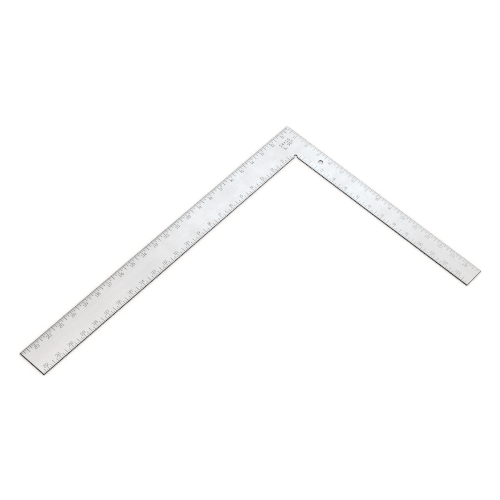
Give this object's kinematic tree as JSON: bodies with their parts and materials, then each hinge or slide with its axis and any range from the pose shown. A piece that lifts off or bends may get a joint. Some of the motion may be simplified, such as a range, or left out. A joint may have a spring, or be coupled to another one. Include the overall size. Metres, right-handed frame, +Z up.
{
  "type": "framing square",
  "caption": "Flat steel L-shaped square with a wide blade and a narrower tongue, inch graduations on both faces and a hanging hole in the tongue.",
  "frame": {"origin": "centre of the square's footprint, on the surface it lies on", "axes": "+Z up out of the face, -Y from the heel along the blade, +X from the heel along the tongue"},
  "size_m": [0.4064, 0.6096, 0.002],
  "materials": {
    "steel": "fine satin grain along each arm, edges sheared and lightly broken",
    "graduation_fill": "matt dark fill in shallow etched lines"
  },
  "bodies": {
    "root": {"blade": "steel", "tongue": "steel", "blade_outer_face_scale": "graduation_fill", "blade_inner_face_scale": "graduation_fill", "tongue_outer_face_scale": "graduation_fill", "tongue_inner_face_scale": "graduation_fill", "blade_outer_back_scale": "graduation_fill", "blade_inner_back_scale": "graduation_fill", "tongue_outer_back_scale": "graduation_fill", "tongue_inner_back_scale": "graduation_fill", "heel_symbol": "graduation_fill"}
  },
  "joints": []
}
